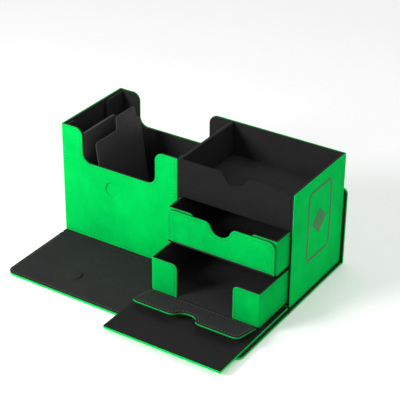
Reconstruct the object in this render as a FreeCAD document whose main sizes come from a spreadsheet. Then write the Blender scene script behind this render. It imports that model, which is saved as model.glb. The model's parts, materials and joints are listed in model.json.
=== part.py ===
"""Card deck box with a detachable U-shaped lid, a deck bay, a tray, two drawers and a fold-down door.

Frame: millimetres, +Z up, +X to the right along the case, -Y to the front.  The origin is on the
surface that the box stands on, under the centre of the case.  The case stands on its own lid, the
lid's front flap and the door lie open in front of it, and both drawers are pulled out.
"""
import FreeCAD, Part
import os
import re

doc = FreeCAD.newDocument("CardDeckBox")
V = FreeCAD.Vector

# ---------------------------------------------------------------- driving dimensions, in mm
DIMS = {
    # skins and boards: green cover outside, board inside, black lining round the board
    "cover_thk": 0.6,
    "core_thk": 1.8,
    "skin_thk": 0.6,
    "rim": 2.0,
    "fit_gap": 0.3,
    # case
    "case_length": 230.0,
    "case_depth": 87.5,
    "case_height": 105.0,
    "corner_round": 1.2,
    "bay_wall_end": 119.3,
    "cut_left": 22.1,
    "cut_right": 97.2,
    "cut_bottom": 73.8,
    "cut_shoulder": 7.5,
    "cut_corner": 8.5,
    # divider, liners, shelf and tray
    "board_thk": 3.0,
    "liner_thk": 2.2,
    "liner_drop": 1.0,
    "liner_front_post": 14.0,
    "liner_back_post": 26.0,
    "liner_notch_floor": 74.0,
    "shelf_level": 35.5,
    "tray_level": 71.2,
    "tray_set_back": 0.3,
    "scoop_half": 15.5,
    "scoop_depth": 9.5,
    "scoop_bottom": 10.0,
    # magnetic catches
    "catch_offset": 62.3,
    "catch_level": 55.2,
    "recess_radius": 6.8,
    "recess_depth": 1.3,
    "door_recess_radius": 7.6,
    "bump_radius": 6.3,
    "bump_height": 1.4,
    "disc_radius": 6.0,
    "plate_thk": 0.4,
    # lid
    "lid_width": 232.0,
    "lid_shift": 1.2,
    "lid_flap_reach": 83.3,
    "lid_back_top": 70.3,
    "lid_corner": 8.0,
    "lid_back_corner": 5.0,
    "hinge_rise": 0.5,
    "hinge_relief": 0.7,
    "back_catch_level": 49.5,
    # door
    "door_top": 104.5,
    "door_play": 0.5,
    "door_hinge_rise": 0.2,
    "door_magnet_level": 88.0,
    "door_magnet_inset": 15.0,
    "small_disc_radius": 5.0,
    "small_disc_thk": 1.2,
    # drawers
    "drawer_play": 0.6,
    "drawer_height": 31.3,
    "drawer_wall": 1.4,
    "drawer_front": 2.8,
    "return_width": 25.1,
    "return_corner": 4.5,
    "upper_out": 21.2,
    "lower_out": 46.3,
    # drawer flaps
    "flap_core_thk": 1.2,
    "flap_inset": 1.0,
    "flap_top": 30.4,
    "flap_corner": 6.0,
    "flap_hinge_rise": 0.3,
    "notch_half": 15.0,
    "notch_depth": 10.7,
    "notch_bottom": 9.9,
    "lower_flap_tilt": 13.0,
    "upper_flap_tilt": 90.0,
    # loose boards in the deck bay
    "spacer_left": 20.6,
    "spacer_thk": 2.4,
    "spacer_width": 46.7,
    "spacer_top": 100.5,
    "spacer_corner": 5.0,
    "tab_card_foot": 46.0,
    "tab_card_lean": 8.0,
    "tab_card_thk": 0.8,
    "tab_card_width": 66.0,
    "tab_card_height": 91.0,
    "tab_from": 32.0,
    "tab_width": 28.0,
    "tab_height": 12.0,
    "tab_corner": 3.0,
    # emblem on the right wall
    "emblem_width": 40.0,
    "emblem_height": 66.0,
    "emblem_level": 29.0,
    "emblem_corner": 7.0,
    "emblem_line": 2.6,
    "emblem_thk": 0.2,
    "pip_size": 17.0,
}
sheet = doc.addObject("Spreadsheet::Sheet", "Dims")
for row, (alias, value) in enumerate(DIMS.items(), start=1):
    sheet.set(f"A{row}", alias)
    sheet.set(f"B{row}", str(value))
    sheet.setAlias(f"B{row}", alias)
doc.recompute()

# Sizes that follow from the sheet, as expressions.
PANEL = "(cover_thk + core_thk + skin_thk)"
WALL = "(core_thk + skin_thk)"
FLAP = "(cover_thk + flap_core_thk + skin_thk)"
LEFT = "(-case_length / 2)"
FRONT = "(-case_depth / 2)"
CASE_Z = f"({PANEL} + fit_gap)"
WALL_RISE = f"(case_height - {PANEL})"
LID_AXIS_FRONT = f"(-2 * {PANEL} - fit_gap + hinge_rise)"
LID_AXIS_BACK = f"(case_depth + fit_gap + {PANEL} - hinge_rise)"
DOOR_AXIS = f"(-{PANEL} - fit_gap + door_hinge_rise)"
BAY_LEFT = "(bay_wall_end + board_thk)"
BAY_RIGHT = f"(case_length - {PANEL})"
DRAWER_WIDTH = f"({BAY_RIGHT} - {BAY_LEFT} - 2 * drawer_play)"
DRAWER_DEPTH = f"(case_depth - {PANEL} - drawer_play - drawer_front)"
LOWER_LEVEL = f"({PANEL} + drawer_play)"
UPPER_LEVEL = "(shelf_level + board_thk + drawer_play)"
FLAP_AXIS = f"(-fit_gap - {FLAP} + flap_hinge_rise)"
THROUGH = "1"

FLAT = FreeCAD.Rotation()
UPRIGHT = FreeCAD.Rotation(V(1, 0, 0), 90)
SIDEWAYS = FreeCAD.Rotation(V(1, 1, 1), 120)

nodes = []


def linked(text):
    """The expression with each sheet alias written as the sheet's own cell."""
    return re.sub(r"[a-z_]+", lambda m: f"Dims.{m[0]}" if m[0] in DIMS else m[0], str(text))


def bind(obj, **sizes):
    for name, text in sizes.items():
        obj.setExpression(name, linked(text))
    return obj


def move(obj, at, rotation=FLAT):
    obj.Placement = FreeCAD.Placement(V(), rotation)
    for axis, text in zip("xyz", at):
        obj.setExpression(f"Placement.Base.{axis}", linked(text))
    return obj


def box(size, at=("0", "0", "0"), name="Box"):
    solid = doc.addObject("Part::Box", name)
    bind(solid, Length=size[0], Width=size[1], Height=size[2])
    return move(solid, at)


def rod(radius, height, at=("0", "0", "0"), name="Rod", rotation=FLAT):
    solid = doc.addObject("Part::Cylinder", name)
    bind(solid, Radius=radius, Height=height)
    return move(solid, at, rotation)


def fuse(*solids):
    joined = doc.addObject("Part::MultiFuse", "Fuse")
    joined.Shapes = list(solids)
    joined.Refine = True
    return joined


def cut(base, tool):
    result = doc.addObject("Part::Cut", "Cut")
    result.Base = base
    result.Tool = tool
    result.Refine = True
    return result


def group(solid):
    """Holds a solid where it is in the panel's own frame, so that the whole can be placed."""
    holder = doc.addObject("Part::Compound", "Group")
    holder.Links = [solid]
    return holder


def node(obj, label, at, rotation=FLAT):
    """Names a finished sub-part and puts it in its place, measured from the case's front left foot."""
    obj.Label = label
    x, y, z = at
    move(obj, (f"{LEFT} + {x}", f"{FRONT} + {y}", z), rotation)
    nodes.append(obj)
    return obj


# ---------------------------------------------------------------- outlines
# A panel's own frame has X along its width, Y along its height and Z through its thickness.
def plain(width, height):
    def slab(inset, level, thickness):
        size = (f"{width} - 2 * {inset}", f"{height} - 2 * {inset}", thickness)
        return group(box(size, (inset, inset, level)))

    return slab


def rounded(width, height, radius, low=True, high=True):
    """A rectangle with round corners at its low end, its high end or both."""

    def slab(inset, level, thickness):
        foot = radius if low else inset
        head = f"({height} - {radius})" if high else f"({height} - {inset})"
        parts = [box((f"{width} - 2 * {inset}", f"{head} - {foot}", thickness), (inset, foot, level))]
        for is_round, bar_from, centre in ((low, inset, radius), (high, head, head)):
            if is_round:
                bar = (f"{width} - 2 * {radius}", f"{radius} - {inset}", thickness)
                parts.append(box(bar, (radius, bar_from, level)))
                for x in (radius, f"{width} - {radius}"):
                    parts.append(rod(f"{radius} - {inset}", thickness, (x, centre, level)))
        return fuse(*parts)

    return slab


def window(left, right, bottom, top, shoulder, corner):
    """An opening down from the top edge, with straight sides, round shoulders and round corners."""

    def tool(inset, level, thickness):
        lo, hi = f"({left} - {inset})", f"({right} + {inset})"
        floor, brim = f"({bottom} - {inset})", f"({top} - {inset})"
        r, s = f"({corner} + {inset})", f"({shoulder} - {inset})"
        deep = box((f"{hi} - {lo} - 2 * {r}", f"{brim} - {floor} + {THROUGH}", thickness),
                   (f"{lo} + {r}", floor, level))
        wide = box((f"{hi} - {lo}", f"{brim} - {floor} - {r} + {THROUGH}", thickness),
                   (lo, f"{floor} + {r}", level))
        low = [rod(r, thickness, (x, f"{floor} + {r}", level))
               for x in (f"{lo} + {r}", f"{hi} - {r}")]
        flare = box((f"{hi} - {lo} + 2 * {s}", f"{s} + {THROUGH}", thickness),
                    (f"{lo} - {s}", f"{brim} - {s}", level))
        posts = fuse(*[rod(s, thickness, (x, f"{brim} - {s}", level))
                       for x in (f"{lo} - {s}", f"{hi} + {s}")])
        return fuse(deep, wide, *low, cut(flare, posts))

    return tool


def scoop(centre, top, half, depth, bottom):
    """A finger scoop: one arc below, two arcs for shoulders, each tangent to the next."""
    both = f"(({half} * {half} + {depth} * {depth}) / (2 * {depth}))"
    shoulder = f"({both} - {bottom})"

    def tool(inset, level, thickness):
        r, s = f"({bottom} + {inset})", f"({shoulder} - {inset})"
        brim = f"({top} - {inset})"
        middle = f"({top} - {depth} + {bottom})"
        tangent = f"({middle} - {r} * ({both} - {depth}) / {both})"
        throat = box((f"2 * {half}", f"{brim} - {tangent} + {THROUGH}", thickness),
                     (f"{centre} - {half}", tangent, level))
        posts = fuse(*[rod(s, thickness, (x, f"{top} - {shoulder}", level))
                       for x in (f"{centre} - {half}", f"{centre} + {half}")])
        return fuse(cut(throat, posts), rod(r, thickness, (centre, middle, level)))

    return tool


def notched(slab, *tools):
    """A slab with openings; each tool is longer than the slab is thick."""

    def shape(inset, level, thickness):
        solid = slab(inset, level, thickness)
        for tool in tools:
            solid = cut(solid, tool(inset, f"{level} - {THROUGH}", f"{thickness} + 2 * {THROUGH}"))
        return solid

    return shape


def lined_board(label, shape, at, rotation=FLAT, core="core_thk", base="0", outer_low=True, holes=()):
    """A board with its lining folded round the edges; the cover closes the lining's open side."""
    core_level = base if outer_low else f"({base} + skin_thk)"
    board = shape("rim", core_level, core)
    for x, y, radius in holes:
        board = cut(board, rod(radius, f"{core} + 2 * {THROUGH}", (x, y, f"{core_level} - {THROUGH}")))
    lining = cut(shape("0", base, f"({core} + skin_thk)"), shape("rim", core_level, core))
    return [node(board, f"{label}_board", at, rotation), node(lining, f"{label}_lining", at, rotation)]


def covered_panel(label, shape, at, rotation=FLAT, core="core_thk", outer_low=True, holes=()):
    """A whole panel: cover, board and lining, counted from the cover side."""
    cover_level = "0" if outer_low else f"({core} + skin_thk)"
    base = "cover_thk" if outer_low else "0"
    cover = node(shape("0", cover_level, "cover_thk"), f"{label}_cover", at, rotation)
    return [cover] + lined_board(label, shape, at, rotation, core, base, outer_low, holes)


def strip_between(label, width, x, y_from, y_to, z, thickness):
    """The cloth of a hinge, as a slim strip in the gap between two panels."""
    node(box((width, f"({y_to}) - ({y_from})", thickness)), label, (x, y_from, z))


# ---------------------------------------------------------------- lid
lid_left = "((case_length - lid_width) / 2 + lid_shift)"
lid_catches = ("(lid_width / 2 - catch_offset)", "(lid_width / 2 + catch_offset)")
panel_front = f"(-{PANEL})"
panel_back = "(case_depth - fit_gap)"
covered_panel("lid_panel", plain("lid_width", f"({panel_back} - {panel_front})"),
              (lid_left, panel_front, "0"))

front_flap_length = f"(lid_flap_reach + {LID_AXIS_FRONT} - hinge_relief)"
bump_from_axis = f"(case_height + {PANEL} - hinge_rise - catch_level)"
bump_y = f"(lid_flap_reach + {LID_AXIS_FRONT} - {bump_from_axis})"
front_flap_at = (lid_left, "-lid_flap_reach", "0")
covered_panel(
    "lid_front",
    rounded("lid_width", front_flap_length, "lid_corner", high=False),
    front_flap_at,
    holes=[(x, bump_y, "disc_radius") for x in lid_catches],
)
node(fuse(*[rod("disc_radius", "core_thk", (x, bump_y, "cover_thk")) for x in lid_catches]),
     "lid_front_magnets", front_flap_at)
node(fuse(*[rod("bump_radius", "bump_height", (x, bump_y, PANEL)) for x in lid_catches]),
     "lid_front_bumps", front_flap_at)

back_flap_foot = "(hinge_rise + hinge_relief)"
back_flap_at = (lid_left, f"{LID_AXIS_BACK} + hinge_rise", back_flap_foot)
back_magnet_y = f"(back_catch_level + {CASE_Z} - {back_flap_foot})"
covered_panel(
    "lid_back",
    rounded("lid_width", f"(lid_back_top + {CASE_Z} - {back_flap_foot})", "lid_back_corner", low=False),
    back_flap_at,
    UPRIGHT,
    holes=[(x, back_magnet_y, "disc_radius") for x in lid_catches],
)
node(fuse(*[rod("disc_radius", "core_thk", (x, back_magnet_y, "cover_thk")) for x in lid_catches]),
     "lid_back_magnets", back_flap_at, UPRIGHT)

strip_between("lid_front_hinge", "lid_width", lid_left,
              f"{LID_AXIS_FRONT} + fit_gap / 2", panel_front, "fit_gap / 2", "cover_thk")
strip_between("lid_back_hinge", "lid_width", lid_left,
              panel_back, f"{LID_AXIS_BACK} - fit_gap / 2", "fit_gap / 2", "cover_thk")

# ---------------------------------------------------------------- case
case_at = ("0", "0", CASE_Z)
wall_foot = f"({CASE_Z} + {PANEL})"
catch_left = "(case_length / 2 - catch_offset)"
catch_right = "(case_length / 2 + catch_offset)"

# The cover wraps all four sides as one skin; it leaves the drawer side open at the front.
shell = rounded("case_length", "case_depth", "corner_round")("0", "0", "case_height")
hollow = box(("case_length - 2 * cover_thk", "case_depth - 2 * cover_thk", "case_height + 2"),
             ("cover_thk", "cover_thk", "-1"))
drawer_side = box(("case_length - cover_thk - bay_wall_end", "cover_thk + 2", "case_height + 2"),
                  ("bay_wall_end", "-1", "-1"))
bay_windows = window("cut_left", "cut_right", "cut_bottom", "case_height", "cut_shoulder", "cut_corner")(
    "0", "0", f"(case_depth + 2 * {THROUGH})"
)
move(bay_windows, ("0", f"case_depth + {THROUGH}", "0"), UPRIGHT)
recess_floor = "(recess_depth + cover_thk)"
boss = rod("recess_radius + cover_thk", f"{recess_floor} - cover_thk / 2",
           (catch_left, recess_floor, "catch_level"), rotation=UPRIGHT)
recess = rod("recess_radius", f"recess_depth + {THROUGH}",
             (catch_left, "recess_depth", "catch_level"), rotation=UPRIGHT)
wrap = cut(shell, fuse(hollow, drawer_side, bay_windows))
node(cut(fuse(wrap, boss), recess), "case_cover", case_at)

inner_depth = "(case_depth - 2 * cover_thk)"
covered_panel("base", plain("(case_length - 2 * cover_thk)", inner_depth),
              ("cover_thk", "cover_thk", CASE_Z))
side = plain(inner_depth, WALL_RISE)
lined_board("left_wall", side, ("cover_thk", "cover_thk", wall_foot), SIDEWAYS)
lined_board("right_wall", side, (BAY_RIGHT, "cover_thk", wall_foot), SIDEWAYS, outer_low=False)

bay_window = window(f"(cut_left - {PANEL})", f"(cut_right - {PANEL})", f"(cut_bottom - {PANEL})",
                    WALL_RISE, "cut_shoulder", "cut_corner")
lined_board(
    "back_wall",
    notched(plain(f"(case_length - 2 * {PANEL})", WALL_RISE), bay_window),
    (PANEL, "case_depth - cover_thk", wall_foot),
    UPRIGHT,
    holes=[(f"({x} - {PANEL})", f"(back_catch_level - {PANEL})", "disc_radius")
           for x in (catch_left, catch_right)],
)
node(fuse(*[rod("disc_radius", "plate_thk", (x, "0", "back_catch_level"), rotation=UPRIGHT)
            for x in (catch_left, catch_right)]),
     "back_catch_plates", ("0", "case_depth - cover_thk", CASE_Z))
lined_board(
    "front_wall",
    notched(plain(f"(bay_wall_end - {PANEL})", WALL_RISE), bay_window),
    (PANEL, PANEL, wall_foot),
    UPRIGHT,
    outer_low=False,
    holes=[(f"({catch_left} - {PANEL})", f"(catch_level - {PANEL})", "recess_radius + cover_thk")],
)
node(rod("disc_radius", "plate_thk"), "front_catch_plate",
     (catch_left, f"{recess_floor} + plate_thk", f"{CASE_Z} + catch_level"), UPRIGHT)

# A partition parts the deck bay from the drawer side, where a tray sits over two drawers.
bay_back = f"(case_depth - {PANEL})"
bay_width = f"({BAY_RIGHT} - {BAY_LEFT})"
node(box(("board_thk", f"{bay_back} - tray_set_back", WALL_RISE)), "partition",
     ("bay_wall_end", "tray_set_back", wall_foot))
node(box((bay_width, f"{bay_back} - tray_set_back - board_thk", "board_thk")), "drawer_shelf",
     (BAY_LEFT, "tray_set_back + board_thk", f"{CASE_Z} + shelf_level"))
node(box((bay_width, f"{bay_back} - tray_set_back - board_thk", "board_thk")), "tray_floor",
     (BAY_LEFT, "tray_set_back + board_thk", f"{CASE_Z} + tray_level"))
tray_rise = "(case_height - tray_level)"
tray_front_at = (BAY_LEFT, "tray_set_back + board_thk", f"{CASE_Z} + tray_level")
tray_front = notched(plain(bay_width, tray_rise),
                     scoop(f"({bay_width} / 2)", tray_rise, "scoop_half", "scoop_depth", "scoop_bottom"))
pockets = [rod("small_disc_radius", "small_disc_thk", (x, "door_magnet_level - tray_level", "core_thk / 2"))
           for x in ("door_magnet_inset", f"{bay_width} - door_magnet_inset")]
node(cut(tray_front("0", "0", "board_thk"), fuse(*pockets)), "tray_front", tray_front_at, UPRIGHT)
discs = [rod("small_disc_radius", "small_disc_thk", (x, "door_magnet_level - tray_level", "core_thk / 2"))
         for x in ("door_magnet_inset", f"{bay_width} - door_magnet_inset")]
node(fuse(*discs), "tray_catch_plates", tray_front_at, UPRIGHT)

# Liner boards at both ends of the deck bay, each with a notch that shows the sides of the cards.
liner_width = f"(case_depth - 2 * {PANEL})"
liner_rise = f"({WALL_RISE} - liner_drop)"
liner = notched(
    plain(liner_width, liner_rise),
    window("liner_front_post", f"({liner_width} - liner_back_post)", f"(liner_notch_floor - {PANEL})",
           liner_rise, "cut_shoulder", "cut_corner"),
)
for label, x in (("left_liner", PANEL), ("partition_liner", "(bay_wall_end - liner_thk)")):
    node(liner("0", "0", "liner_thk"), label, (x, PANEL, wall_foot), SIDEWAYS)

# Emblem: a plain card outline round a diamond pip, laid on the right wall.
card = rounded("emblem_width", "emblem_height", "emblem_corner")
card_inside = card("emblem_line", f"-{THROUGH}", f"(emblem_thk + 2 * {THROUGH})")
pip = box(("pip_size", "pip_size", "emblem_thk"))
move(pip, ("emblem_width / 2", "emblem_height / 2 - pip_size * sqrt(2) / 2", "0"),
     FreeCAD.Rotation(V(0, 0, 1), 45))
node(fuse(cut(card("0", "0", "emblem_thk"), card_inside), pip), "emblem",
     ("case_length", "(case_depth - emblem_width) / 2", f"{CASE_Z} + emblem_level"), SIDEWAYS)

# ---------------------------------------------------------------- door
door_left = "(bay_wall_end + door_play)"
door_width = f"(case_length - {door_left})"
door_length = "(door_top - door_hinge_rise - hinge_relief)"
door_far = f"({DOOR_AXIS} - hinge_relief - {door_length})"
door_at = (door_left, door_far, CASE_Z)
door_catch = (f"({catch_right} + lid_shift - {door_left})",
              f"({DOOR_AXIS} - (catch_level - door_hinge_rise) - {door_far})")
door_magnet_y = f"({DOOR_AXIS} - (door_magnet_level - door_hinge_rise) - {door_far})"
door_magnet_x = [f"({BAY_LEFT} + door_magnet_inset - {door_left})",
                 f"({BAY_RIGHT} - door_magnet_inset - {door_left})"]
door_shape = plain(door_width, door_length)
lined_board(
    "door",
    door_shape,
    door_at,
    base="cover_thk",
    holes=[(*door_catch, "door_recess_radius + cover_thk")]
    + [(x, door_magnet_y, "small_disc_radius") for x in door_magnet_x],
)
boss = rod("door_recess_radius + cover_thk", recess_floor, (*door_catch, "0"))
recess = rod("door_recess_radius", f"recess_depth + {THROUGH}", (*door_catch, f"-{THROUGH}"))
node(cut(fuse(door_shape("0", "0", "cover_thk"), boss), recess), "door_cover", door_at)
node(rod("disc_radius", "plate_thk"), "door_catch_plate",
     (f"{door_left} + {door_catch[0]}", f"{door_far} + {door_catch[1]}", f"{CASE_Z} + {recess_floor}"))
node(fuse(*[rod("small_disc_radius", "core_thk", (x, door_magnet_y, "cover_thk"))
            for x in door_magnet_x]), "door_magnets", door_at)
strip_between("door_hinge", f"({door_width} - corner_round)", door_left,
              f"{DOOR_AXIS} + fit_gap / 2", "cover_thk", CASE_Z, "door_hinge_rise + fit_gap")


# ---------------------------------------------------------------- drawers
def return_gap(foot, reach):
    """The gap between a drawer's front returns, flared at the top by their round corners."""
    low, high = "return_width", f"({DRAWER_WIDTH} - return_width)"
    height = "drawer_height - return_corner"
    past = f"{reach} + {THROUGH}"
    slot = box((f"{high} - {low}", past, "drawer_height"), (low, f"-{THROUGH}", foot))
    flare = box((f"{high} - {low} + 2 * return_corner", past, f"return_corner + {THROUGH}"),
                (f"{low} - return_corner", f"-{THROUGH}", height))
    post_back = f"{reach} + {THROUGH} / 2"
    posts = fuse(*[
        rod("return_corner", f"{reach} + 2 * {THROUGH}", (x, post_back, height), rotation=UPRIGHT)
        for x in (f"{low} - return_corner", f"{high} + return_corner")
    ])
    return fuse(slot, cut(flare, posts))


def drawer(label, level, pulled_out):
    """A card drawer: a black tray in a green cover that goes round the sides, back and returns."""
    front = f"(drawer_front - {pulled_out})"
    at = (f"{BAY_LEFT} + drawer_play", front, f"{CASE_Z} + {level}")
    skin, wall = "cover_thk", "(cover_thk + drawer_wall)"
    outside = box((DRAWER_WIDTH, DRAWER_DEPTH, "drawer_height"))
    inside = box((f"{DRAWER_WIDTH} - 2 * {skin}", f"{DRAWER_DEPTH} - 2 * {skin}", "drawer_height + 2"),
                 (skin, skin, "-1"))
    node(cut(outside, fuse(inside, return_gap(f"-{THROUGH}", skin))), f"{label}_cover", at)
    body = box((f"{DRAWER_WIDTH} - 2 * {skin}", f"{DRAWER_DEPTH} - 2 * {skin}", "drawer_height"),
               (skin, skin, "0"))
    room = box((f"{DRAWER_WIDTH} - 2 * {wall}", f"{DRAWER_DEPTH} - 2 * {wall}", "drawer_height"),
               (wall, wall, "drawer_wall"))
    node(cut(body, fuse(room, return_gap("drawer_wall", wall))), f"{label}_tray", at)


def drawer_flap(label, drawer_label, level, pulled_out, tilt):
    """The flap on a drawer's front: upright when shut, turned down to its tilt above level."""
    front = f"(drawer_front - {pulled_out})"
    left = f"({BAY_LEFT} + drawer_play + flap_inset)"
    width = f"({DRAWER_WIDTH} - 2 * flap_inset)"
    foot = "(flap_hinge_rise + hinge_relief)"
    length = f"(flap_top - {foot})"
    strip_between(f"{drawer_label}_flap_hinge", width, left, f"{front} + {FLAP_AXIS} + fit_gap / 2",
                  front, f"{CASE_Z} + {level}", "flap_hinge_rise + fit_gap")
    turn = f"(180 - {tilt})" if tilt == "lower_flap_tilt" else tilt
    inner = f"({FLAP} - flap_hinge_rise)"
    y = f"{front} + {FLAP_AXIS} + hinge_relief * cos({turn}) + {inner} * sin({turn})"
    z = f"{CASE_Z} + {level} + flap_hinge_rise + hinge_relief * sin({turn}) - {inner} * cos({turn})"
    shape = notched(rounded(width, length, "flap_corner", low=False),
                    scoop(f"({width} / 2)", length, "notch_half", "notch_depth", "notch_bottom"))
    for piece in covered_panel(label, shape, (left, y, z), UPRIGHT, "flap_core_thk", outer_low=False):
        piece.setExpression("Placement.Rotation.Angle", linked(turn))


drawer("upper_drawer", UPPER_LEVEL, "upper_out")
drawer_flap("upper_flap", "upper_drawer", UPPER_LEVEL, "upper_out", "upper_flap_tilt")
drawer("lower_drawer", LOWER_LEVEL, "lower_out")
drawer_flap("lower_flap", "lower_drawer", LOWER_LEVEL, "lower_out", "lower_flap_tilt")

# ---------------------------------------------------------------- loose boards in the deck bay
spacer = fuse(
    box(("spacer_width", f"spacer_top - {PANEL} - spacer_corner", "spacer_thk")),
    box(("spacer_width - spacer_corner", f"spacer_top - {PANEL}", "spacer_thk")),
    rod("spacer_corner", "spacer_thk",
        ("spacer_width - spacer_corner", f"spacer_top - {PANEL} - spacer_corner", "0")),
)
node(spacer, "deck_spacer", ("spacer_left", f"{PANEL} + fit_gap", wall_foot), SIDEWAYS)

tab_shape = rounded("tab_width", "(tab_height + 2 * tab_corner)", "tab_corner", low=False)
tab = tab_shape("0", "0", "tab_card_thk")
move(tab, ("tab_from", "tab_card_height - 2 * tab_corner", "0"))
tab_card = fuse(rounded("tab_card_width", "tab_card_height", "tab_corner")("0", "0", "tab_card_thk"), tab)
lean = FreeCAD.Rotation(V(0, 1, 0), -sheet.get("tab_card_lean")).multiply(SIDEWAYS)
node(tab_card, "card_divider",
     ("tab_card_foot", f"{PANEL} + 2 * fit_gap", f"{wall_foot} + fit_gap"), lean)

# ---------------------------------------------------------------- checks and export
doc.recompute()
faulty = [o.Label for o in doc.Objects if {"Invalid", "Error"} & set(o.State)]
if faulty:
    raise RuntimeError(f"objects that did not compute: {faulty}")
os.makedirs("parts", exist_ok=True)
for obj in nodes:
    if obj.Shape.isNull() or not obj.Shape.isValid() or not obj.Shape.Solids:
        raise RuntimeError(f"{obj.Label} has no valid solid")
    obj.Shape.exportStep(f"parts/{obj.Label}.step")
print(f"{len(nodes)} sub-parts written")
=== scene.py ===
"""Looks of the card deck box: covered boards with rounded, stitched edges, folded drawers, cloth hinges.

Sizes are in millimetres in the case's own frame: X from its left side, Y from its front, Z from its
bottom.  place() turns them into the row frame in metres.
"""
import json
import math
import random

import bmesh
import bpy
from mathutils import Matrix, Vector


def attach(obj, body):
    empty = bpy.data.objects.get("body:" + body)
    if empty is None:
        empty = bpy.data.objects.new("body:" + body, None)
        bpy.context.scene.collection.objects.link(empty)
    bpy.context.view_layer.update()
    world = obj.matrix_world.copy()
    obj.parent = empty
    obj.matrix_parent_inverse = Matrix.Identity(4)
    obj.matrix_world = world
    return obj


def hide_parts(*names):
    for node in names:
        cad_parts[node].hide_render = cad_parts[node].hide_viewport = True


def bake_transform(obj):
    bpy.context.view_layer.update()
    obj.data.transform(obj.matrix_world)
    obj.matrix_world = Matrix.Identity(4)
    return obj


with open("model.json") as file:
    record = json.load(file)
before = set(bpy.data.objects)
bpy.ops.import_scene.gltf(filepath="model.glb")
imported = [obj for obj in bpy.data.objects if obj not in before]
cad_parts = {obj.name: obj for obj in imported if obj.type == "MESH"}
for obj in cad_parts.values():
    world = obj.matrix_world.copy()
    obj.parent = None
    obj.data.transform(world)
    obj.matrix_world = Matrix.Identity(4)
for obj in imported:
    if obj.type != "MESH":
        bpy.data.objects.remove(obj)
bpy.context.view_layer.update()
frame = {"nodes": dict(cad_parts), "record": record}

random.seed(7)

MM = 0.001
X, Y, Z = Vector((1, 0, 0)), Vector((0, 1, 0)), Vector((0, 0, 1))
LENGTH, DEPTH, HEIGHT = 230.0, 87.5, 105.0      # the case, outside
FLOOR = -3.3                                    # what the lid lies on
ORIGIN = Vector((-LENGTH / 2, -DEPTH / 2, -FLOOR))
PANEL = 3.0                                     # a covered board
SKIN, LINING_SKIN = 0.6, 0.5                    # the cloths on a panel's outside and inside
GAP = 0.02                                      # keeps faces that lie together apart
INSIDE = PANEL + GAP
FACE_MARGIN = 0.4                               # flat rim beside a rounding, which keeps shading level

STITCH_INSET = 2.1                              # a seam's distance from the edge
STITCH_LENGTH, STITCH_WIDTH, STITCH_HEIGHT = 2.3, 0.42, 0.22
STITCH_PITCH = 3.1
STITCH_FILL = 0.74                              # the most of the pitch that a stitch takes up
STITCH_DRIFT = 0.06                             # how unevenly stitches lie along their seam
STITCH_SINK = 0.04                              # how deep their line lies under the face

ARC_STEP = 12.0                                 # most degrees between points on an outline's arc
MITRE_LIMIT = 0.35                              # keeps the tips of very sharp corners short
SAME_POINT = 1e-5
CIRCLE_POINTS = 40
BEND_CUTS = 6                                   # pieces in each bend of a folded strip
CURVE_STEPS = 4                                 # pieces between two points of a hinge's profile
HINGE_STEP = 4.0                                # length of a hinge's faces along its axis
SHARP_ANGLE = math.radians(48)                  # edges sharper than this aren't smoothed over


def place(x, y, z):
    """A point of the case's frame, in millimetres, in the row frame, in metres."""
    return (Vector((x, y, z)) + ORIGIN) * MM


# ---------------------------------------------------------------- materials
def grey(value):
    """Equal parts of each colour, which also serves for a roughness."""
    return (value, value, value)


def shade(colour, factor):
    """The colour made darker or lighter."""
    return tuple(min(1.0, c * factor) for c in colour)


class Look:
    """A Principled material and the node chains that the cloths and boards are made of."""

    def __init__(self, name, roughness, specular=0.5, sheen=0.0, sheen_tint=(1, 1, 1), metallic=0.0):
        self.material = bpy.data.materials.new(name)
        self.material.use_nodes = True
        self.nodes = self.material.node_tree.nodes
        self.links = self.material.node_tree.links
        self.inputs = self.nodes["Principled BSDF"].inputs
        self.inputs["Roughness"].default_value = roughness
        self.inputs["Metallic"].default_value = metallic
        self.inputs["Specular IOR Level"].default_value = specular
        self.inputs["Sheen Weight"].default_value = sheen
        self.inputs["Sheen Roughness"].default_value = 0.5
        self.inputs["Sheen Tint"].default_value = (*sheen_tint, 1)

    def noise(self, scale, detail=4.0, roughness=0.55, stretch=(1, 1, 1)):
        """3-D noise over the object's own coordinates; scale counts features per metre."""
        coords = self.nodes.new("ShaderNodeTexCoord")
        mapping = self.nodes.new("ShaderNodeMapping")
        mapping.inputs["Scale"].default_value = stretch
        texture = self.nodes.new("ShaderNodeTexNoise")
        texture.inputs["Scale"].default_value = scale
        texture.inputs["Detail"].default_value = detail
        texture.inputs["Roughness"].default_value = roughness
        self.links.new(coords.outputs["Object"], mapping.inputs["Vector"])
        self.links.new(mapping.outputs["Vector"], texture.inputs["Vector"])
        return texture.outputs["Fac"]

    def ramp(self, fac, *stops):
        """Colours for a 0..1 output, from (position, colour) stops."""
        node = self.nodes.new("ShaderNodeValToRGB")
        self.links.new(fac, node.inputs["Fac"])
        elements = node.color_ramp.elements
        while len(elements) < len(stops):
            elements.new(0.5)
        for element, (position, colour) in zip(elements, stops):
            element.position = position
            element.color = (*colour, 1)
        return node.outputs["Color"]

    def multiply(self, a, b):
        """One colour output darkened by another."""
        node = self.nodes.new("ShaderNodeMix")
        node.data_type = "RGBA"
        node.blend_type = "MULTIPLY"
        node.inputs["Factor"].default_value = 1.0
        self.links.new(a, node.inputs["A"])
        self.links.new(b, node.inputs["B"])
        return node.outputs["Result"]

    def paint(self, socket, output):
        """Drives one of the shader's sockets."""
        self.links.new(output, self.inputs[socket])

    def bump(self, *heights):
        """Stacks bumps of (height output, strength, distance in metres) on the shader's normal."""
        normal = None
        for height, strength, distance in heights:
            node = self.nodes.new("ShaderNodeBump")
            node.inputs["Strength"].default_value = strength
            node.inputs["Distance"].default_value = distance
            self.links.new(height, node.inputs["Height"])
            if normal is not None:
                self.links.new(normal, node.inputs["Normal"])
            normal = node.outputs["Normal"]
        self.paint("Normal", normal)


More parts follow.
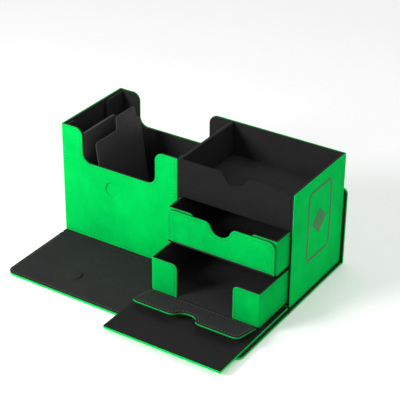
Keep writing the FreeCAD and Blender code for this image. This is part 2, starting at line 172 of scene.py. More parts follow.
def suede(name, colour, contrast, specular, sheen, sheen_tint):
    """Brushed microfibre: cloudy nap marks, a mottle, short fibres and a soft bloom at grazing angles."""
    look = Look(name, 0.92, specular, sheen, sheen_tint)
    clouds = look.ramp(look.noise(38, 3.0, 0.6), (0.3, shade(colour, 1 - contrast)), (0.5, colour),
                       (0.72, shade(colour, 1 + contrast)))
    strokes = look.ramp(look.noise(160, 5.0, 0.65, (1.0, 1.0, 0.45)),
                        (0.32, grey(1 - 0.6 * contrast)), (0.66, grey(1.0)))
    fibres = look.ramp(look.noise(2600, 2.0, 0.7), (0.35, grey(1 - 0.8 * contrast)), (0.65, grey(1.0)))
    look.paint("Base Color", look.multiply(look.multiply(clouds, strokes), fibres))
    look.paint("Roughness", look.ramp(look.noise(300, 3.0), (0.3, grey(0.84)), (0.7, grey(0.98))))
    look.bump((look.noise(90, 3.0), 0.25, 0.0006), (look.noise(1500, 3.0, 0.7), 0.35, 0.00012))
    return look.material


def thread(name, colour):
    """Twisted sewing thread."""
    look = Look(name, 0.7, sheen=0.3, sheen_tint=colour)
    coords = look.nodes.new("ShaderNodeTexCoord")
    wave = look.nodes.new("ShaderNodeTexWave")
    wave.inputs["Scale"].default_value = 900
    wave.inputs["Distortion"].default_value = 1.5
    wave.bands_direction = "DIAGONAL"
    look.links.new(coords.outputs["Object"], wave.inputs["Vector"])
    twist = wave.outputs["Fac"]
    look.paint("Base Color", look.ramp(twist, (0.2, shade(colour, 0.7)), (0.8, shade(colour, 1.25))))
    look.bump((twist, 0.4, 0.0001))
    return look.material


def smooth_board(name, colour, roughness=0.6):
    """Plastic or print with a fine, even grain and slight scuffs."""
    look = Look(name, roughness, specular=0.35)
    base = look.ramp(look.noise(60), (0.3, shade(colour, 0.88)), (0.7, shade(colour, 1.12)))
    grain = look.ramp(look.noise(1800, 2.0), (0.3, grey(0.9)), (0.7, grey(1.0)))
    look.paint("Base Color", look.multiply(base, grain))
    look.paint("Roughness", look.ramp(look.noise(220), (0.35, grey(roughness - 0.05)),
                                      (0.65, grey(roughness + 0.06))))
    look.bump((look.noise(1600, 2.0), 0.15, 0.00003))
    return look.material


def greyboard(name):
    """Pressed recycled board with flecks."""
    look = Look(name, 0.9, specular=0.2)
    look.paint("Base Color", look.ramp(look.noise(500, 6.0, 0.7, (1, 1, 3)), (0.3, (0.28, 0.22, 0.16)),
                                       (0.6, (0.42, 0.34, 0.26)), (0.8, (0.5, 0.43, 0.35))))
    look.bump((look.noise(900, 5.0, 0.7), 0.4, 0.0001))
    return look.material


def metal(name, colour, roughness):
    """Plated steel with fine brushing."""
    look = Look(name, roughness, metallic=1.0)
    brushed = look.noise(700, 4.0, 0.6, (1, 12, 1))
    look.paint("Base Color", look.ramp(brushed, (0.3, shade(colour, 0.85)), (0.7, shade(colour, 1.1))))
    look.paint("Roughness", look.ramp(brushed, (0.3, grey(roughness - 0.08)), (0.7, grey(roughness + 0.1))))
    return look.material


GREEN = (0.0, 0.66, 0.098)
BLACK = (0.026, 0.0255, 0.026)
GREEN_BLOOM = (0.05, (0.05, 1.0, 0.3))          # sheen weight and tint
BLACK_BLOOM = (0.03, (0.9, 0.88, 0.9))
green = suede("green_suede", GREEN, 0.10, 0.02, *GREEN_BLOOM)
# The drawers' green is the same cloth made darker: painted shade, in place of the light falling off towards
# the drawers.
shaded_drawer_green = suede("shaded_drawer_green_suede", shade(GREEN, 0.84), 0.15, 0.02, *GREEN_BLOOM)
black = suede("black_suede", BLACK, 0.10, 0.10, *BLACK_BLOOM)
# The black cloth made darker for the tray front and the door's lining: painted shade, for the light falling
# off on them.
shaded_black = suede("shaded_black_suede", shade(BLACK, 0.64), 0.10, 0.08, *BLACK_BLOOM)
green_thread = thread("green_thread", (0.0, 0.17, 0.035))
grey_thread = thread("grey_thread", (0.13, 0.105, 0.10))
grey_card = smooth_board("grey_plastic", (0.052, 0.050, 0.052))
emblem_print = smooth_board("printed_motif", (0.055, 0.26, 0.085), 0.75)
board = greyboard("pressed_board")
magnet = metal("nickel", (0.6, 0.6, 0.62), 0.3)
catch_steel = metal("plain_steel", (0.45, 0.45, 0.47), 0.4)

BY_SLOT = {
    "green_microfibre": green,
    "black_microfibre": black,
    "board": board,
    "grey_card": grey_card,
    "emblem_print": emblem_print,
    "magnet": magnet,
    "catch_steel": catch_steel,
}
SLOT_OF = {material.name: slot for slot, material in BY_SLOT.items()}
for material in (shaded_drawer_green, green_thread):
    SLOT_OF[material.name] = "green_microfibre"
for material in (shaded_black, grey_thread):
    SLOT_OF[material.name] = "black_microfibre"
for subpart in frame["record"]["subparts"]:
    mesh = frame["nodes"][subpart["node"]].data
    mesh.materials.clear()
    mesh.materials.append(BY_SLOT[subpart["material_slot"]])


# ---------------------------------------------------------------- outlines
def offset(outline, inset):
    """The outline moved inward by inset, mitred at its corners."""
    moved = []
    for i, point in enumerate(outline):
        ahead = (outline[(i + 1) % len(outline)] - point).normalized()
        behind = (point - outline[i - 1]).normalized()
        n1, n2 = Vector((-behind.y, behind.x)), Vector((-ahead.y, ahead.x))
        middle = (n1 + n2).normalized()
        moved.append(point + middle * (inset / max(MITRE_LIMIT, middle.dot(n1))))
    return moved


def rounded_path(corners, inset=0.0):
    """A closed outline, counter-clockwise, from (x, y, radius) corners, moved inward by inset.

    Every inset of the same corners gives the same number of points; an arc smaller than the inset
    shrinks to one repeated point.
    """
    outline = []
    tips = offset([Vector((x, y)) for x, y, _ in corners], inset)
    for i, (tip, (_, _, radius)) in enumerate(zip(tips, corners)):
        if radius <= 0:
            outline.append(tip)
            continue
        before = (tips[i - 1] - tip).normalized()
        after = (tips[(i + 1) % len(tips)] - tip).normalized()
        inward = before.x * after.y - before.y * after.x > 0
        radius = radius + inset if inward else max(0.0, radius - inset)
        half = before.angle(after) / 2
        centre = tip + (before + after).normalized() * (radius / math.sin(half))
        first = tip + before * (radius / math.tan(half)) - centre
        sweep = (2 * half - math.pi) if inward else (math.pi - 2 * half)
        steps = max(2, math.ceil(abs(math.degrees(sweep)) / ARC_STEP))
        for k in range(steps + 1):
            angle = sweep * k / steps
            outline.append(centre + Vector((first.x * math.cos(angle) - first.y * math.sin(angle),
                                            first.x * math.sin(angle) + first.y * math.cos(angle))))
    return outline


def rectangle(x0, y0, x1, y1, radii=(0, 0, 0, 0)):
    """Corners start at the low left and go round counter-clockwise."""
    return [(x0, y0, radii[0]), (x1, y0, radii[1]), (x1, y1, radii[2]), (x0, y1, radii[3])]


def cut_out(left, right, bottom, top):
    """The corners of an opening in a top edge, from right to left."""
    shoulder, corner = 7.5, 8.5
    return [(right, top, shoulder), (right, bottom, corner), (left, bottom, corner), (left, top, shoulder)]


def finger_scoop(centre, top, half, depth, bottom):
    """The corners of a scoop whose arcs meet without a straight, from right to left."""
    both = (half ** 2 + depth ** 2) / (2 * depth)
    lean = math.atan2(both - depth, half)
    apex = top - depth + bottom - bottom / math.sin(lean)
    reach = (top - apex) * math.tan(lean)
    shoulder = both - bottom
    return [(centre + reach, top, shoulder), (centre, apex, bottom), (centre - reach, top, shoulder)]


def notched(x0, y0, x1, y1, *openings, radii=(0, 0, 0, 0)):
    """A rectangle with openings in its top edge, which come from right to left."""
    low_left, low_right, high_right, high_left = rectangle(x0, y0, x1, y1, radii)
    notches = [corner for opening in openings for corner in opening]
    return [low_left, low_right, high_right, *notches, high_left]


# ---------------------------------------------------------------- solids from outlines
def link(name, bm, material, body, nodes=()):
    """Makes a piece of a mesh, on its body, in place of the CAD nodes that it stands for."""
    bmesh.ops.recalc_face_normals(bm, faces=bm.faces)
    mesh = bpy.data.meshes.new(name)
    bm.to_mesh(mesh)
    bm.free()
    mesh.materials.append(material)
    mesh.polygons.foreach_set("use_smooth", [True] * len(mesh.polygons))
    mesh.set_sharp_from_angle(angle=SHARP_ANGLE)
    obj = bpy.data.objects.new(name, mesh)
    bpy.context.scene.collection.objects.link(obj)
    if body:
        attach(obj, body)
    if nodes:
        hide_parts(*nodes)
    return obj


def add_ring(bm, points, w):
    """One vert for each point; points that coincide share their vert."""
    ring = []
    for point in points:
        if ring and (ring[-1].co.xy - point).length < SAME_POINT:
            ring.append(ring[-1])
        else:
            ring.append(bm.verts.new((point.x, point.y, w)))
    return ring


def bridge(bm, low, high):
    """Faces between two rings; a quad whose corners coincide becomes a triangle or is left out."""
    for i in range(len(low)):
        j = (i + 1) % len(low)
        corners = list(dict.fromkeys((low[i], low[j], high[j], high[i])))
        if len(corners) > 2:
            bm.faces.new(corners)


def tube(bm, rings):
    """Joins rings into one closed solid with flat ends."""
    for first, second in zip(rings, rings[1:]):
        bridge(bm, first, second)
    bm.faces.new(rings[0])
    bm.faces.new(list(reversed(rings[-1])))


def circle(x, y, radius):
    """Points round a circle, counter-clockwise."""
    turns = [2 * math.pi * k / CIRCLE_POINTS for k in range(CIRCLE_POINTS)]
    return [Vector((x + radius * math.cos(turn), y + radius * math.sin(turn))) for turn in turns]


def cap(bm, rim, pits):
    """Closes a ring with a flat face, or with a face round each pit and the pit's own rings."""
    rim = list(dict.fromkeys(rim))
    if not pits:
        bm.faces.new(rim)
        return
    edges = [bm.edges.get((rim[i - 1], rim[i])) for i in range(len(rim))]
    for x, y, profile in pits:
        rings = [add_ring(bm, circle(x, y, radius), level) for radius, level in profile]
        for first, second in zip(rings, rings[1:]):
            bridge(bm, first, second)
        bm.faces.new(rings[-1])
        ring = rings[0]
        edges += [bm.edges.get((ring[i - 1], ring[i])) for i in range(len(ring))]
    bmesh.ops.triangle_fill(bm, use_beauty=True, edges=edges)


def solid(corners, rings, low_pits=(), high_pits=()):
    """Joins insets of an outline, each (inset, level), into one closed solid."""
    bm = bmesh.new()
    loops = [add_ring(bm, rounded_path(corners, inset), w) for inset, w in rings]
    for first, second in zip(loops, loops[1:]):
        bridge(bm, first, second)
    cap(bm, loops[0], low_pits)
    cap(bm, loops[-1], high_pits)
    return bm


def arc(w, radius, start, end, steps=4):
    """Rings that round an edge about (radius, w), from one angle to another; 0 points out, 90 up."""
    for k in range(steps + 1):
        angle = math.radians(start + (end - start) * k / steps)
        yield (radius - radius * math.cos(angle), w + radius * math.sin(angle))


def rounded_edge(low, high, radius):
    """Rings up the edge of a board between two levels, rounded at both."""
    return [*arc(low + radius, radius, -90, 0), *arc(high - radius, radius, 0, 90)]


# The shallow groove that a seam pulls into a face, from inside to out: (inset, depth).
GROOVE = [(STITCH_INSET + across, depth) for across, depth in (
    (1.25, 0.0), (0.75, 0.0), (0.375, 0.105), (0.0, 0.14), (-0.375, 0.105), (-0.75, 0.0))]


def slab_rings(low, high, radius):
    """A board with rounded edges."""
    margin = radius + FACE_MARGIN
    return [(margin, low), *rounded_edge(low, high, radius), (margin, high)]


def wrap_rings(lip, skin, stitched):
    """Cover cloth under a board and up round its edge: outside face, rounded edge, lip, inside face."""
    return [
        *(GROOVE if stitched else [(skin + FACE_MARGIN, 0.0)]),
        *arc(skin, skin, -90, 0),
        *arc(lip - skin / 2, skin / 2, 0, 180, 6),
        (skin, skin + 0.3),
        (skin + 0.3, skin),
        (skin + 0.8, skin),
    ]


def stitch(bm, at, along, out, length):
    """One stitch: a low lozenge of thread, sunk at both ends."""
    side = out.cross(along)
    # Along its length, then its width and height as shares of the whole.
    sections = ((-0.5, 0.25, -0.6), (-0.36, 0.8, 0.35), (-0.12, 1.0, 0.85), (0.12, 1.0, 0.85),
                (0.36, 0.8, 0.35), (0.5, 0.25, -0.6))
    rings = []
    for run, width, height in sections:
        centre = at + along * (run * length)
        ring = []
        for k in range(6):
            angle = 2 * math.pi * k / 6
            across = 0.5 * STITCH_WIDTH * width * math.cos(angle)
            lift = STITCH_HEIGHT * (height * (0.5 + 0.5 * math.sin(angle)) - 0.35)
            ring.append(bm.verts.new(centre + side * across + out * lift))
        rings.append(ring)
    tube(bm, rings)


def seam(name, lines, to_case, material, body):
    """Sews stitches along lines of (u, v) points.

    to_case(u, v) gives the point and the outward direction in the case frame.
    """
    bm = bmesh.new()
    for line in lines:
        total = sum((b - a).length for a, b in zip(line, line[1:]))
        count = max(1, round(total / STITCH_PITCH))
        step = total / count
        length = min(STITCH_LENGTH, step * STITCH_FILL)
        travelled, index = 0.0, 0
        for k in range(count):
            target = (k + 0.5) * step
            while index < len(line) - 2 and travelled + (line[index + 1] - line[index]).length < target:
                travelled += (line[index + 1] - line[index]).length
                index += 1
            direction = (line[index + 1] - line[index]).normalized()
            middle = line[index] + direction * (target - travelled)
            here, out = to_case(middle.x, middle.y)
            ahead, _ = to_case(*(middle + direction * 0.5))
            drift = STITCH_DRIFT * (random.random() - 0.5)
            along = ((ahead - here).normalized() + out.cross(ahead - here) * drift).normalized()
            stitch(bm, here, along, out, length)
    for vert in bm.verts:
        vert.co = place(*vert.co)
    link(name, bm, material, body)


def on_plane(origin, u, v, out):
    """A to_case function for a flat panel's face; stitches lie in the seam's groove."""
    return lambda a, b: (Vector(origin) + u * a + v * b - out * STITCH_SINK, out)


def inset_line(corners):
    """The closed line that a seam follows inside an outline."""
    line = rounded_path(corners, STITCH_INSET)
    return line + [line[0]]


def dense(line):
    """The same line with a point at least every millimetre."""
    points = [line[0]]
    for a, b in zip(line, line[1:]):
        count = max(1, math.ceil((b - a).length))
        points += [a + (b - a) * (k / count) for k in range(1, count + 1)]
    return points


def runs(line, keep):
    """The stretches of a line whose points pass keep(point), without the very short ones."""
    stretches, current = [], []
    for point in dense(line):
        if keep(point):
            current.append(point)
            continue
        stretches.append(current)
        current = []
    stretches.append(current)
    return [stretch for stretch in stretches if len(stretch) > 3]


# ---------------------------------------------------------------- folded strips
class Ribbon:
    """A strip folded round right angles; s runs along it and w counts inward from its outside."""

    def __init__(self, points, radius, origin=(0, 0, 0)):
        points = [Vector(p) for p in points]
        self.radius = radius
        self.origin = origin
        self.parts = []         # (first s, last s, first point, direction, direction after it if it bends)
        self.corners = []       # s of the sharp corner that each straight run starts from
        s = 0.0
        for i, (a, b) in enumerate(zip(points, points[1:])):
            direction = (b - a).normalized()
            trim_a = radius if i > 0 else 0.0
            trim_b = radius if i < len(points) - 2 else 0.0
            length = (b - a).length - trim_a - trim_b
            self.corners.append(s - trim_a)
            self.parts.append((s, s + length, a + direction * trim_a, direction, None))
            s += length
            if trim_b:
                turn_to = (points[i + 2] - b).normalized()
                span = math.pi / 2 * radius
                self.parts.append((s, s + span, b - direction * radius, direction, turn_to))
                s += span
        self.length = s

    def at(self, s, w):
        """The plan point and the outward direction at s and depth w; outward is to the left of travel."""
        for start, end, point, direction, turn_to in self.parts:
            if s <= end + 1e-9:
                break
        if turn_to is None:
            outward = Vector((-direction.y, direction.x))
            return point + direction * (s - start) - outward * w, outward
        centre = point + turn_to * self.radius
        angle = (s - start) / self.radius
        outward = -turn_to * math.cos(angle) + direction * math.sin(angle)
        return centre + outward * (self.radius - w), outward

    def to_case(self, s, height, w=STITCH_SINK):
        """The point and the outward direction in the case frame."""
        point, outward = self.at(s, w)
        x, y, z = self.origin
        return Vector((point.x + x, point.y + y, height + z)), Vector((outward.x, outward.y, 0))

    def fold(self, bm):
        """Folds a flat (s, height, w) solid round the corners into the row frame."""
        bends = [(start, end) for start, end, _, _, turn_to in self.parts if turn_to is not None]
        for start, end in bends:
            for k in range(BEND_CUTS + 1):
                cut = (start + (end - start) * k / BEND_CUTS, 0, 0)
                geometry = bm.verts[:] + bm.edges[:] + bm.faces[:]
                bmesh.ops.bisect_plane(bm, geom=geometry, dist=SAME_POINT, plane_co=cut, plane_no=(1, 0, 0))
        for vert in bm.verts:
            point, _ = self.to_case(*vert.co)
            vert.co = place(*point)
        return bm


# ---------------------------------------------------------------- boards and cloth
def panel(name, corners, rings, origin, axes, material, body, nodes=(), low_pits=(), high_pits=()):
    """One covered or lined board, built flat from its outline and laid along the given axes."""
    u, v, w = axes
    bm = solid(corners, rings, low_pits, high_pits)
    for vert in bm.verts:
        vert.co = place(*(Vector(origin) + u * vert.co.x + v * vert.co.y + w * vert.co.z))
    link(name, bm, material, body, nodes)


def plain_board(name, corners, thickness, origin, axes, body, nodes=(), material=black, radius=0.7):
    """A board of one material with rounded edges."""
    panel(name, corners, slab_rings(0.0, thickness, radius), origin, axes, material, body, nodes)


def covered(label, corners, thickness, origin, axes, body, green_share=0.74, stitched=True, sewn=None,
            cloth=green, lining=black, pits=(), pit_backs=(), bumps=(), bump_nodes=()):
    """A whole panel: green cloth under and round the edge, black cloth over it, and both seams.

    sewn(point) says where the seams run; without it they go all the way round.
    """
    u, v, w = axes
    lip = green_share * thickness
    inner = Vector(origin) + w * thickness
    panel(f"{label}_green_wrap", corners, wrap_rings(lip, SKIN, stitched), origin, axes, cloth, body,
          [f"{label}_cover"], pits, pit_backs)
    panel(f"{label}_black_wrap", corners, wrap_rings(thickness - lip - GAP, LINING_SKIN, stitched), inner,
          (u, v, -w), lining, body, [f"{label}_lining", *bump_nodes], bumps)
    if stitched:
        lines = runs(inset_line(corners), sewn) if sewn else [inset_line(corners)]
        seam(f"{label}_outer_stitches", lines, on_plane(origin, u, v, -w), green_thread, body)
        seam(f"{label}_inner_stitches", lines, on_plane(inner, u, v, w), grey_thread, body)


def smoothed(points):
    """A Catmull-Rom curve through the points."""
    points = [Vector(p) for p in points]
    curve = [points[0]]
    for i in range(len(points) - 1):
        p0, p1, p2 = points[max(i - 1, 0)], points[i], points[i + 1]
        p3 = points[min(i + 2, len(points) - 1)]
        for k in range(1, CURVE_STEPS + 1):
            t = k / CURVE_STEPS
            curve.append(0.5 * (2 * p1 + (p2 - p0) * t + (2 * p0 - 5 * p1 + 4 * p2 - p3) * t ** 2
                                + (3 * p1 - p0 - 3 * p2 + p3) * t ** 3))
    return curve


def hinge(name, material, thickness, span, profile, nodes=()):
    """Cloth across a hinge: a strip along a bent (y, z) profile, swept across the span, on no body.
    """
    x0, x1 = span
    curve = smoothed(profile)
    upper, lower = [], []
    for i, point in enumerate(curve):
        along = (curve[min(i + 1, len(curve) - 1)] - curve[max(i - 1, 0)]).normalized()
        half = Vector((-along.y, along.x)) * (thickness / 2)
        upper.append(point + half)
        lower.append(point - half)
    section = upper + lower[::-1]
    bm = bmesh.new()
    count = max(2, round((x1 - x0) / HINGE_STEP))
    rings = []
    for k in range(count + 1):
        x = x0 + (x1 - x0) * k / count
        rings.append([bm.verts.new(place(x, p.x, p.y)) for p in section])
    tube(bm, rings)
    obj = link(name, bm, material, None, nodes)
    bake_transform(obj)


# ---------------------------------------------------------------- case
BAY_END = 119.3                                 # where the deck bay's front wall stops
CUT_LEFT, CUT_RIGHT, CUT_BOTTOM = 22.1, 97.2, 73.8      # openings in the deck bay's front and back walls
RECESS_X, RECESS_Z = 52.7, 55.2                 # a dish for a magnet in the front wall
HEM = 1.1                                       # how far the cover laps inward over the walls' edges
LINING_IN, SHEET_IN = 0.65, 0.7                 # from the outside to the linings and the base's cloth
BACK_Y = DEPTH - PANEL                          # inside of the back wall

case_path = Ribbon([(BAY_END, 0), (0, 0), (0, DEPTH), (LENGTH, DEPTH), (LENGTH, 0)], 1.5)
back_s = case_path.corners[2]
front_cut = cut_out(BAY_END - CUT_RIGHT, BAY_END - CUT_LEFT, CUT_BOTTOM, HEIGHT)
back_cut = cut_out(back_s + CUT_LEFT, back_s + CUT_RIGHT, CUT_BOTTOM, HEIGHT)
case_rings = [*GROOVE, *rounded_edge(0.0, HEM, 0.45), (1.5, HEM), (1.75, 0.85), (1.85, 0.6), (2.4, 0.6)]
dish = (BAY_END - RECESS_X, RECESS_Z, [(7.7, 0.0), (7.25, 0.05), (6.95, 0.25), (6.8, 0.6), (6.78, 1.0),
                                       (6.55, 1.22), (6.1, 1.3), (5.4, 1.3)])
dish_back = (BAY_END - RECESS_X, RECESS_Z, [(7.9, 0.6), (7.5, 0.7), (7.38, 1.1), (7.3, 1.7), (6.9, 1.88)])
case_outline = notched(0, 0, case_path.length, HEIGHT, back_cut, front_cut)
case_sheet = solid(case_outline, case_rings, [dish], [dish_back])
link("case_wrap", case_path.fold(case_sheet), green, "case", ["case_cover"])

seam("case_stitches",
     [inset_line(notched(0, 0, BAY_END, HEIGHT, front_cut)),
      inset_line(notched(back_s, 0, back_s + LENGTH, HEIGHT, back_cut))],
     case_path.to_case, green_thread, "case")

side_wall = rectangle(LINING_IN, INSIDE, DEPTH - LINING_IN, HEIGHT)
window = cut_out(CUT_LEFT, CUT_RIGHT, CUT_BOTTOM, HEIGHT)
LINED_WALLS = (
    ("left_wall", side_wall, (PANEL, 0, 0), (Y, Z, -X)),
    ("right_wall", side_wall, (LENGTH - PANEL, 0, 0), (Y, Z, X)),
    ("back_wall", notched(INSIDE, INSIDE, LENGTH - INSIDE, HEIGHT, window), (0, BACK_Y, 0), (X, Z, Y)),
    ("front_wall", notched(INSIDE, INSIDE, BAY_END - GAP, HEIGHT, window), (0, PANEL, 0), (X, Z, -Y)),
)
for label, corners, origin, axes in LINED_WALLS:
    panel(f"{label}_black_wrap", corners, wrap_rings(PANEL - HEM - GAP, SKIN, False), origin, axes, black,
          "case", [f"{label}_lining"])

panel("base_green_sheet", rectangle(SHEET_IN, SHEET_IN, LENGTH - SHEET_IN, DEPTH - SHEET_IN),
      slab_rings(GAP, SKIN, 0.25), (0, 0, 0), (X, Y, Z), green, "case", ["base_cover"])
panel("base_black_wrap", rectangle(LINING_IN, LINING_IN, LENGTH - LINING_IN, DEPTH - LINING_IN),
      wrap_rings(2.35, SKIN, False), (0, 0, PANEL), (X, Y, -Z), black, "case", ["base_lining"])

BAY_X0, BAY_X1 = BAY_END + PANEL, LENGTH - PANEL        # inside of the drawer bay
BAY_FRONT = 3.3
SHELF_Z, TRAY_Z = 35.5, 71.2
LINER, LINER_TOP = 2.2, HEIGHT - 1.0
plain_board("partition_board", rectangle(0.3, PANEL, BACK_Y, HEIGHT, (0, 0, 1.2, 1.2)), PANEL,
            (BAY_END, 0, 0), (Y, Z, X), "case", ["partition"])
bay_plan = rectangle(BAY_X0, BAY_FRONT, BAY_X1, BACK_Y)
for name, level, node in (
    ("shelf_board", SHELF_Z, "drawer_shelf"),
    ("tray_floor_board", TRAY_Z, "tray_floor"),
):
    plain_board(name, bay_plan, PANEL, (0, 0, level), (X, Y, Z), "case", [node])
tray_scoop = finger_scoop((BAY_X0 + BAY_X1) / 2, HEIGHT, 15.5, 9.5, 10.0)
# The tray front is in the darkened black: painted shade.
plain_board("tray_front_board", notched(BAY_X0, TRAY_Z, BAY_X1, HEIGHT, tray_scoop), PANEL,
            (0, BAY_FRONT, 0), (X, Z, -Y), "case", ["tray_front"], shaded_black)

liner = notched(PANEL, PANEL, BACK_Y, LINER_TOP, cut_out(17.0, BACK_Y - 26.0, 74.0, LINER_TOP),
                radii=(0, 0, 1.5, 1.5))
for label, x in (("left_liner", PANEL), ("partition_liner", BAY_END - LINER)):
    plain_board(f"{label}_board", liner, LINER, (x, 0, 0), (Y, Z, X), "case", [label])

# ---------------------------------------------------------------- lid
LID_X0, LID_X1 = 0.2, 232.2
LID_MIDDLE = (LID_X0 + LID_X1) / 2
CATCH_REACH, CATCH_Y = 62.3, -58.1              # the catches, either side of the middle
bump_profile = [(7.8, 0.0), (7.0, -0.05), (6.5, -0.28), (6.3, -0.75), (6.15, -1.1), (5.7, -1.33),
                (4.9, -1.4), (2.5, -1.4)]
lid_bumps = [(LID_MIDDLE + reach, CATCH_Y, bump_profile) for reach in (-CATCH_REACH, CATCH_REACH)]
covered("lid_panel", rectangle(LID_X0, -3.0, LID_X1, 87.2), PANEL, (0, 0, FLOOR), (X, Y, Z), "lid",
        sewn=lambda p: 1.5 < p.y < 82.5)
covered("lid_front", rectangle(LID_X0, -83.3, LID_X1, -6.5, (8, 8, 0, 0)), PANEL, (0, 0, FLOOR), (X, Y, Z),
        "lid_front_flap", sewn=lambda p: p.y < -11.0, bumps=lid_bumps, bump_nodes=["lid_front_bumps"])
covered("lid_back", rectangle(LID_X0, 1.2, LID_X1, 73.6, (0, 0, 5, 5)), PANEL, (0, 90.8, FLOOR), (X, Z, -Y),
        "lid_back_flap", green_share=0.88, sewn=lambda p: p.y > 6.0)

# ---------------------------------------------------------------- door
DOOR_X0 = BAY_END + 0.5
DOOR_CATCH = (LID_MIDDLE + CATCH_REACH, CATCH_Y)
door_dish = (*DOOR_CATCH, [(8.5, 0.0), (8.05, 0.05), (7.75, 0.25), (7.62, 0.7), (7.6, 1.1), (7.3, 1.27),
                           (6.6, 1.3)])
door_dish_back = (*DOOR_CATCH, [(8.6, 0.6), (8.25, 0.8), (8.15, 1.6), (7.7, 1.88)])
# The door's lining is the darkened black: painted shade.
covered("door", rectangle(DOOR_X0, -107.4, LENGTH, -3.8, (0.8, 0.8, 0, 0)), PANEL, (0, 0, 0), (X, Y, Z),
        "door", stitched=False, lining=shaded_black, pits=[door_dish], pit_backs=[door_dish_back])

# ---------------------------------------------------------------- drawers
DRAWER_X0, DRAWER_W, DRAWER_D, DRAWER_H = BAY_X0 + 0.6, 103.5, 81.1, 31.3
DRAWER_FRONT = 2.8                              # a drawer's front when it is pushed in
RETURN, RETURN_R = 25.1, 4.5                    # the part of each side that folds across the front
RETURN_SEWN = RETURN - 3.5
BASE_THK, STRIP_THK = 1.4, 1.38                 # the boards of its bottom and its sides
FLAP_AXIS_Y, FLAP_AXIS_Z = -2.4, 0.3            # from the drawer's front lower edge
FLAP_THK, FLAP_W, FLAP_H, FLAP_R = 2.4, DRAWER_W - 2.0, 29.4, 6.0
flap_corners = notched(0, 0, FLAP_W, FLAP_H, finger_scoop(FLAP_W / 2, FLAP_H, 15.0, 10.7, 9.9),
                       radii=(0, 0, FLAP_R, FLAP_R))


def drawer_path(lap, shortened, radius, origin):
    """The strip from one return round the sides and back to the other, lap inside the outer faces."""
    left, right, back, end = lap, DRAWER_W - lap, DRAWER_D - lap, RETURN - shortened
    points = [(end, lap), (left, lap), (left, back), (right, back), (right, lap), (DRAWER_W - end, lap)]
    return Ribbon(points, radius, origin)


def drawer(label, front, level):
    """Green cloth and black board, both folded from a strip, on a black base."""
    origin = (DRAWER_X0, front, level)
    lap = SKIN + GAP
    outer = drawer_path(0.0, 0.0, 1.8, origin)
    inner = drawer_path(lap, 0.1, 1.5, origin)
    cloth = rectangle(0, 0, outer.length, DRAWER_H, (1.2, 1.2, RETURN_R, RETURN_R))
    cloth_rings = [*GROOVE, *rounded_edge(0.0, SKIN, SKIN / 2), (0.7, SKIN)]
    # The drawer's cloth is the darkened green: painted shade.
    link(f"{label}_green_wrap", outer.fold(solid(cloth, cloth_rings)), shaded_drawer_green, label,
         [f"{label}_cover"])
    strip = rectangle(0, BASE_THK + GAP, inner.length, DRAWER_H, (0, 0, RETURN_R, RETURN_R))
    link(f"{label}_black_strip", inner.fold(solid(strip, slab_rings(0.0, STRIP_THK, 0.55))), black, label,
         [f"{label}_tray"])
    plain_board(f"{label}_base", rectangle(lap, 0.08, DRAWER_W - lap, DRAWER_D - lap), BASE_THK, origin,
                (X, Y, Z), label, radius=0.5)
    lines = runs(inset_line(cloth), lambda p: p.x < RETURN_SEWN or p.x > outer.length - RETURN_SEWN)
    seam(f"{label}_stitches", lines, outer.to_case, green_thread, label)


def drawer_flap(label, drawer_label, front, level, opened):
    """The flap turned forward about its hinge by some degrees, and the cloth that joins it."""
    rotate = Matrix.Rotation(math.radians(opened), 3, "X")
    axis = Vector((0, front + FLAP_AXIS_Y, level + FLAP_AXIS_Z))

    def turned(y, z):
        """A point given from the hinge's axis, in the case frame, once the flap has turned."""
        return axis + rotate @ Vector((0, y, z))

    foot = turned(-0.3, 0.7)
    # The flap's cloth is the darkened green: painted shade.
    covered(label, flap_corners, FLAP_THK, (DRAWER_X0 + 1.0, foot.y, foot.z), (X, rotate @ Z, rotate @ Y),
            label, green_share=0.5, cloth=shaded_drawer_green)
    bend, end, past = turned(0.0, 0.1), turned(-0.05, 0.75), turned(-0.05, 1.7)
    profile = [(front + 0.5, level + 0.32), (front - 1.2, level + 0.3), (bend.y, bend.z), (end.y, end.z),
               (past.y, past.z)]
    hinge(f"{drawer_label}_flap_cloth", black, 0.5, (DRAWER_X0 + 1.6, DRAWER_X0 + DRAWER_W - 1.6),
          profile,
          [f"{drawer_label}_flap_hinge"])


# which, how far the drawer is drawn out, its level, how far its flap has fallen in degrees
for which, drawn, level, opened in (("upper", 21.2, 39.1, 0.0), ("lower", 46.3, 3.6, 77.0)):
    drawer(f"{which}_drawer", DRAWER_FRONT - drawn, level)
    drawer_flap(f"{which}_flap", f"{which}_drawer", DRAWER_FRONT - drawn, level, opened)

# ---------------------------------------------------------------- cloth hinges of the lid and door
LOW, TOP = FLOOR + 0.36, FLOOR + 2.86           # middles of the cloths on the lid's outside and inside
lid_span = (LID_X0 + 0.1, LID_X1 - 0.1)
hinge("lid_front_cloth", green, 0.5, lid_span,
      [(-2.2, LOW), (-3.9, LOW + 0.1), (-5.6, LOW + 0.1), (-7.3, LOW)], ["lid_front_hinge"])
hinge("lid_front_inner_cloth", black, 0.4, lid_span,
      [(-1.6, TOP), (-2.9, TOP), (-4.1, TOP - 0.7), (-5.4, TOP - 0.7), (-6.6, TOP), (-7.9, TOP)])
hinge("lid_back_cloth", green, 0.5, lid_span,
      [(86.4, LOW), (88.4, LOW), (89.9, LOW + 0.25), (90.4, LOW + 1.0), (90.4, LOW + 2.2)],
      ["lid_back_hinge"])
hinge("lid_back_inner_cloth", black, 0.35, lid_span,
      [(86.4, LOW + 0.8), (88.3, LOW + 0.55), (89.4, LOW + 0.8), (89.85, LOW + 1.4), (89.85, LOW + 2.3)])
hinge("door_cloth", green, 0.4, (DOOR_X0 + 0.6, LENGTH - 2.2),
      [(1.6, 0.3), (-0.6, 0.27), (-2.8, 0.27), (-4.6, 0.36)], ["door_hinge"])

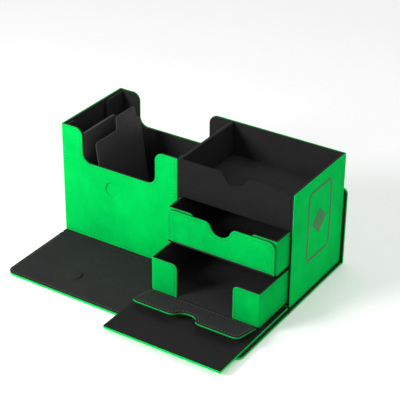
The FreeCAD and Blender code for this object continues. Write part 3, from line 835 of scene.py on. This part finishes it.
# ---------------------------------------------------------------- loose boards
plain_board("spacer_board", rectangle(3.3, 3.0, 50.0, 100.5, (0.8, 0.8, 5.0, 1.2)), 2.4, (20.6, 0, 0),
            (Y, Z, X), "spacer", ["deck_spacer"], grey_card, 0.6)
lean = Matrix.Rotation(math.radians(-8.0), 3, "Y")
tab_outline = [(0, 0, 2.5), (66, 0, 2.5), (66, 91, 3), (61.4, 91, 1.2), (59.6, 103, 3), (32.4, 103, 3),
               (30.6, 91, 1.2), (0, 91, 3)]
plain_board("divider_sheet", tab_outline, 0.8, (46.0, 3.6, 3.3), (lean @ Y, lean @ Z, lean @ X),
            "tab_card", ["card_divider"], grey_card, 0.25)

# ---------------------------------------------------------------- camera, lights and floor
scene = bpy.context.scene
camera = bpy.data.objects.new("camera", bpy.data.cameras.new("camera"))
camera.data.lens = 123.29
camera.data.sensor_width = 36.0
camera.data.clip_end = 20.0
camera.location = place(666.2, -825.5, 628.6)
camera.rotation_euler = [math.radians(a) for a in (60.431, -0.519, 32.706)]
scene.collection.objects.link(camera)
scene.camera = camera


def area_light(name, location, target, size, power):
    """A round light; places are in metres in the row frame."""
    data = bpy.data.lights.new(name, "AREA")
    data.shape = "DISK"
    data.size = size
    data.energy = power
    light = bpy.data.objects.new(name, data)
    light.location = location
    light.rotation_euler = (Vector(target) - Vector(location)).to_track_quat("-Z", "Y").to_euler()
    scene.collection.objects.link(light)


area_light("key", (-0.42, -0.78, 0.50), (-0.05, -0.04, 0.04), size=0.35, power=7.4)
area_light("fill", (1.3, -0.9, 0.8), (0, 0, 0.05), size=1.2, power=1.6)
area_light("top", (0.0, 0.4, 1.6), (0, 0, 0), size=1.4, power=8)

world = bpy.data.worlds.new("studio")
world.use_nodes = True
background = world.node_tree.nodes["Background"]
background.inputs["Color"].default_value = (1, 1, 1, 1)
background.inputs["Strength"].default_value = 0.34
scene.world = world

paper = Look("paper_white", 0.8, specular=0.2)
paper.paint("Base Color", paper.ramp(paper.noise(4.0), (0.3, grey(0.93)), (0.7, grey(0.95))))
paper.inputs["Emission Color"].default_value = (1, 1, 1, 1)
paper.inputs["Emission Strength"].default_value = 0.24
bpy.ops.mesh.primitive_plane_add(size=12, location=(0, 0, -0.0002))
floor = bpy.context.object
floor.name = "floor"
floor.data.materials.append(paper.material)
scene.view_settings.view_transform = "Standard"
